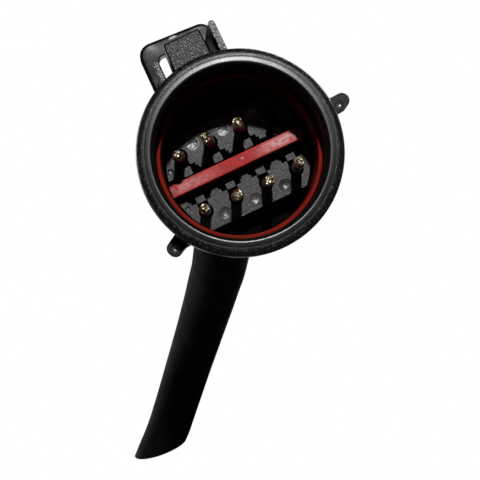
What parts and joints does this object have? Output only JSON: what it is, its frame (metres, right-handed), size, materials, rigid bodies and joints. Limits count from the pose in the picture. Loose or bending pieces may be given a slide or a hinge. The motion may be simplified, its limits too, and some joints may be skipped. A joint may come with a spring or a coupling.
{
  "type": "round sealed electrical connector with lead",
  "caption": "Round black sealed connector half with male pins, a red wedge lock, a face seal, side lugs, a clip loop with a latch tongue, and a short thick lead.",
  "frame": {"origin": "centre of the mouth, in the plane of the rim's front face", "axes": "-Y out of the mouth, +Y back along the connector to the lead, +Z towards the clip loop, +X along the contact rows"},
  "size_m": [0.0659, 0.1742, 0.0776],
  "materials": {
    "shell_plastic": "moulded glass-filled plastic, satin with a fine grain",
    "block_plastic": "moulded dark grey plastic, dull",
    "wedge_plastic": "moulded crimson plastic, satin",
    "seal_silicone": "orange-red silicone",
    "contact_metal": "plated copper alloy, polished tip",
    "boot_rubber": "matt black rubber",
    "lead_jacket": "matt black jacket",
    "insulation_red": "red wire insulation",
    "insulation_black": "black wire insulation",
    "insulation_yellow": "yellow wire insulation",
    "insulation_white": "white wire insulation",
    "insulation_blue": "blue wire insulation",
    "insulation_brown": "brown wire insulation",
    "insulation_orange": "orange wire insulation"
  },
  "bodies": {
    "connector": {"shell": "shell_plastic", "terminal_block": "block_plastic", "face_seal": "seal_silicone", "wire_seal": "seal_silicone", "cavity_plug": "seal_silicone", "seal_retainer": "shell_plastic", "rear_cover": "shell_plastic", "strain_relief_boot": "boot_rubber", "lead_cable": "lead_jacket", "pin_top_1": "contact_metal", "pin_top_2": "contact_metal", "pin_top_3": "contact_metal", "pin_bottom_1": "contact_metal", "pin_bottom_2": "contact_metal", "pin_bottom_3": "contact_metal", "pin_bottom_4": "contact_metal", "core_wire_top_1": "insulation_red", "core_wire_top_2": "insulation_black", "core_wire_top_3": "insulation_yellow", "core_wire_bottom_1": "insulation_white", "core_wire_bottom_2": "insulation_blue", "core_wire_bottom_3": "insulation_brown", "core_wire_bottom_4": "insulation_orange"},
    "wedge": {"wedge_lock": "wedge_plastic"},
    "tongue": {"latch_tongue": "shell_plastic"}
  },
  "joints": [
    {"name": "wedge_slide", "type": "slide", "parent": "connector", "child": "wedge", "axis": [0, -1, 0], "range_m": [0, 0.021]},
    {"name": "tongue_bend", "type": "hinge", "parent": "connector", "child": "tongue", "pos_m": [0, 0.0225, 0.01704], "axis": [1, 0, 0], "range_deg": [0, 7], "stiffness_Nm_per_rad": 0.05}
  ]
}
